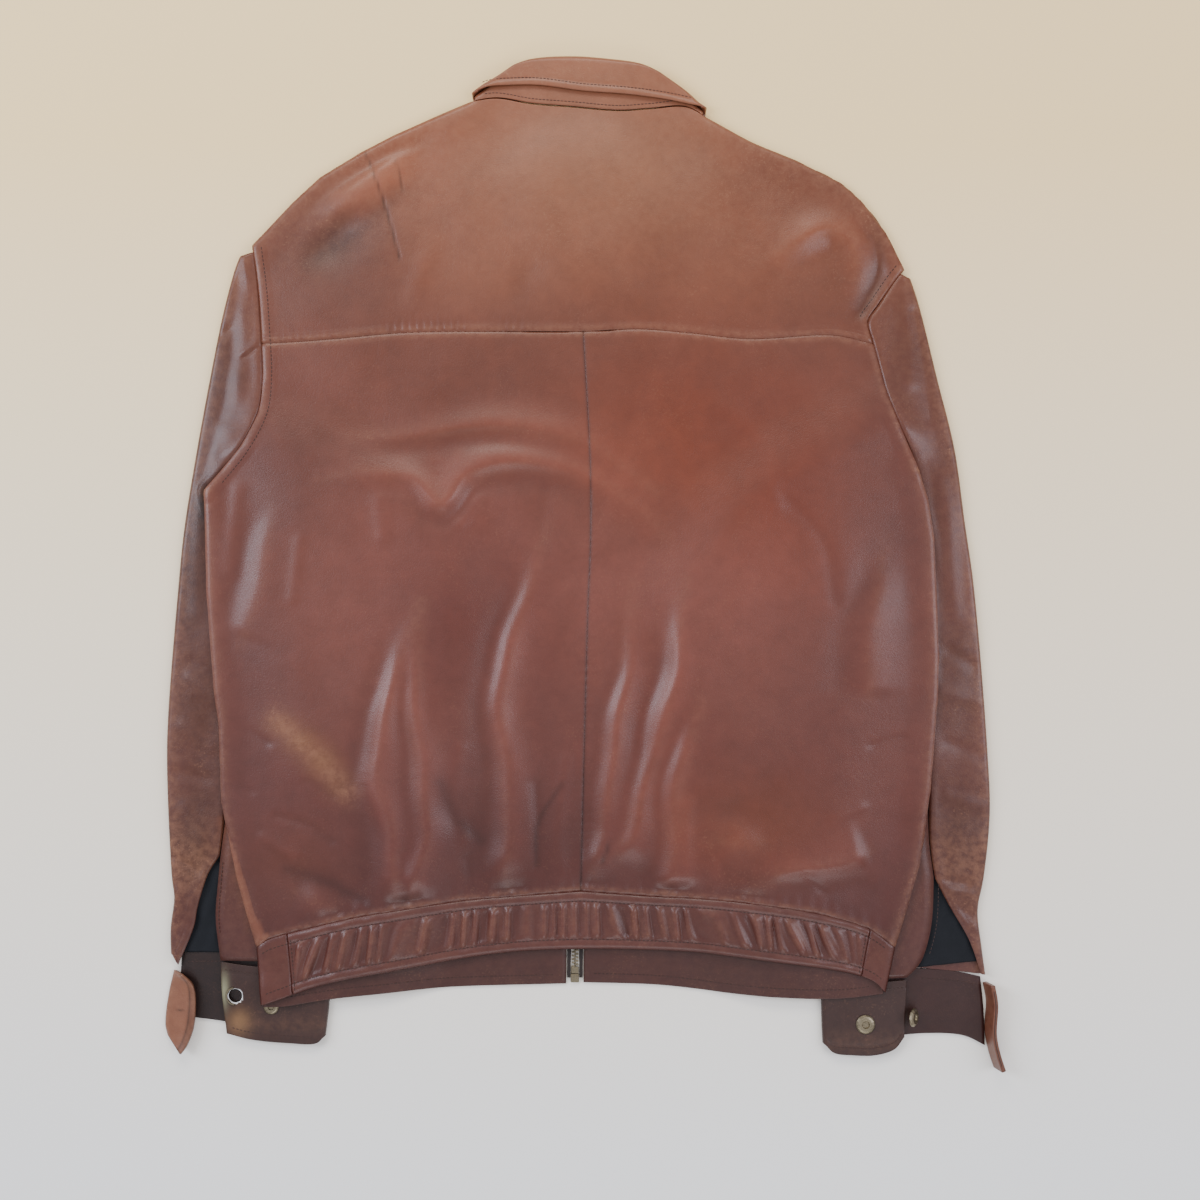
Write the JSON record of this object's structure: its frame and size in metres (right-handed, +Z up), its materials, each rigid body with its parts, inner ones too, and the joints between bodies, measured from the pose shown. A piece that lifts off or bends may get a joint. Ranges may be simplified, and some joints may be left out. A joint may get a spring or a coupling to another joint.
{
  "type": "leather jacket",
  "caption": "Worn brown leather zip jacket lying face down, sleeves folded under its sides, with a gathered waistband and open snap cuffs.",
  "frame": {"origin": "centre of the bounding box in plan, at the surface that the jacket lies on", "axes": "+X to the wearer's right, +Y from the hem towards the collar, +Z up through the back of the jacket"},
  "size_m": [0.6898, 0.8314, 0.0209],
  "materials": {
    "brown_leather": "faded, semi-gloss",
    "dark_leather": "semi-gloss",
    "navy_lining": "satin weave",
    "zip_tape": "matt weave",
    "antique_brass": "aged, dull"
  },
  "bodies": {
    "jacket": {"back_left": "brown_leather", "back_right": "brown_leather", "back_yoke": "brown_leather", "collar_fall": "brown_leather", "collar_stand": "brown_leather", "cuff_left": "dark_leather", "cuff_right": "dark_leather", "cuff_tab_left": "brown_leather", "cuff_tab_right": "brown_leather", "front_left": "brown_leather", "front_right": "brown_leather", "sleeve_cap_left": "brown_leather", "sleeve_cap_right": "brown_leather", "sleeve_lining_left": "navy_lining", "sleeve_lining_right": "navy_lining", "sleeve_top_left": "brown_leather", "sleeve_top_right": "brown_leather", "sleeve_under_left": "brown_leather", "sleeve_under_right": "brown_leather", "snap_edge_right": "antique_brass", "snap_left": "antique_brass", "snap_right": "antique_brass", "snap_torn_left": "antique_brass", "waistband_back": "brown_leather", "waistband_end_left": "brown_leather", "waistband_end_right": "brown_leather", "waistband_front_left": "dark_leather", "waistband_front_right": "dark_leather", "zip_box": "antique_brass", "zip_pin": "antique_brass", "zip_slider": "antique_brass", "zip_tape_left": "zip_tape", "zip_tape_right": "zip_tape", "zip_teeth": "antique_brass"},
    "zip_pull": {"zip_pull": "antique_brass"}
  },
  "joints": [
    {"name": "zip_pull_hinge", "type": "hinge", "parent": "jacket", "child": "zip_pull", "pos_m": [0.00153, 0.29381, 0.0034], "axis": [1, 0, 0], "range_deg": [0, 150]}
  ]
}
